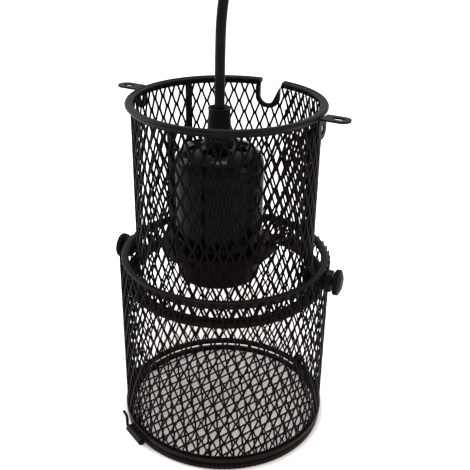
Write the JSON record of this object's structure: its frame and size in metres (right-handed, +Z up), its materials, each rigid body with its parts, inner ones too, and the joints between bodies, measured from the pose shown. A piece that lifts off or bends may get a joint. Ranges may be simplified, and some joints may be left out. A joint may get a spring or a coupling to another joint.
{
  "type": "telescopic bulb cage guard",
  "caption": "Cylindrical mesh guard round a lamp holder: an upper tube on slotted brackets telescopes in a basket with thumb screws and a hinged mesh lid.",
  "frame": {"origin": "middle of the face of the lid ring that the guard stands on", "axes": "+Z up along the mesh tubes, +X along the two hanging brackets"},
  "size_m": [0.1604, 0.1425, 0.3178],
  "materials": {
    "black_paint": "satin black powder coat",
    "strap_paint": "worn satin black paint",
    "glossy_black": "glossy black",
    "satin_black": "satin black",
    "ceramic": "glazed white ceramic",
    "brass": "bare brass",
    "cord_sheath": "soft black sheath"
  },
  "bodies": {
    "upper_guard": {"upper_mesh": "black_paint", "top_rim": "black_paint", "notch_trim": "black_paint", "guide_ring": "black_paint", "bracket_right": "black_paint", "bracket_left": "black_paint", "strap_right": "strap_paint", "strap_back": "strap_paint", "strap_front": "strap_paint", "holder_plate": "black_paint", "strap_screws": "black_paint", "holder_shell": "glossy_black", "skirt_ring": "satin_black", "ceramic_sleeve": "ceramic", "ceramic_base": "ceramic", "screw_shell": "brass", "centre_contact": "brass", "terminals": "brass", "cord_gland": "satin_black", "cord": "cord_sheath", "ceiling_grip": "satin_black"},
    "basket": {"basket_mesh": "black_paint", "basket_top_rim": "black_paint", "basket_bottom_rim": "black_paint", "screw_nut_right": "black_paint", "screw_nut_left": "black_paint", "hinge_eyes_basket": "black_paint", "hinge_pin": "black_paint"},
    "thumb_screw_right": {"thumb_stud_right": "black_paint", "thumb_knob_right": "satin_black"},
    "thumb_screw_left": {"thumb_stud_left": "black_paint", "thumb_knob_left": "satin_black"},
    "lid": {"lid_ring": "black_paint", "lid_mesh": "black_paint", "lid_catch": "black_paint", "hinge_eye_lid": "black_paint"}
  },
  "joints": [
    {"name": "basket_slide", "type": "slide", "parent": "upper_guard", "child": "basket", "axis": [0, 0, 1], "range_m": [0, 0.085]},
    {"name": "lid_hinge", "type": "hinge", "parent": "basket", "child": "lid", "pos_m": [-0.03275, -0.06569, 0.00485], "axis": [-0.8949, 0.4462, 0], "range_deg": [0, 120]},
    {"name": "screw_right_turn", "type": "hinge", "parent": "basket", "child": "thumb_screw_right", "pos_m": [0.07345, 0.00902, 0.1184], "axis": [0.9925, 0.1219, 0], "continuous": true},
    {"name": "screw_left_turn", "type": "hinge", "parent": "basket", "child": "thumb_screw_left", "pos_m": [-0.07345, -0.00902, 0.115], "axis": [-0.9925, -0.1219, 0], "continuous": true}
  ]
}
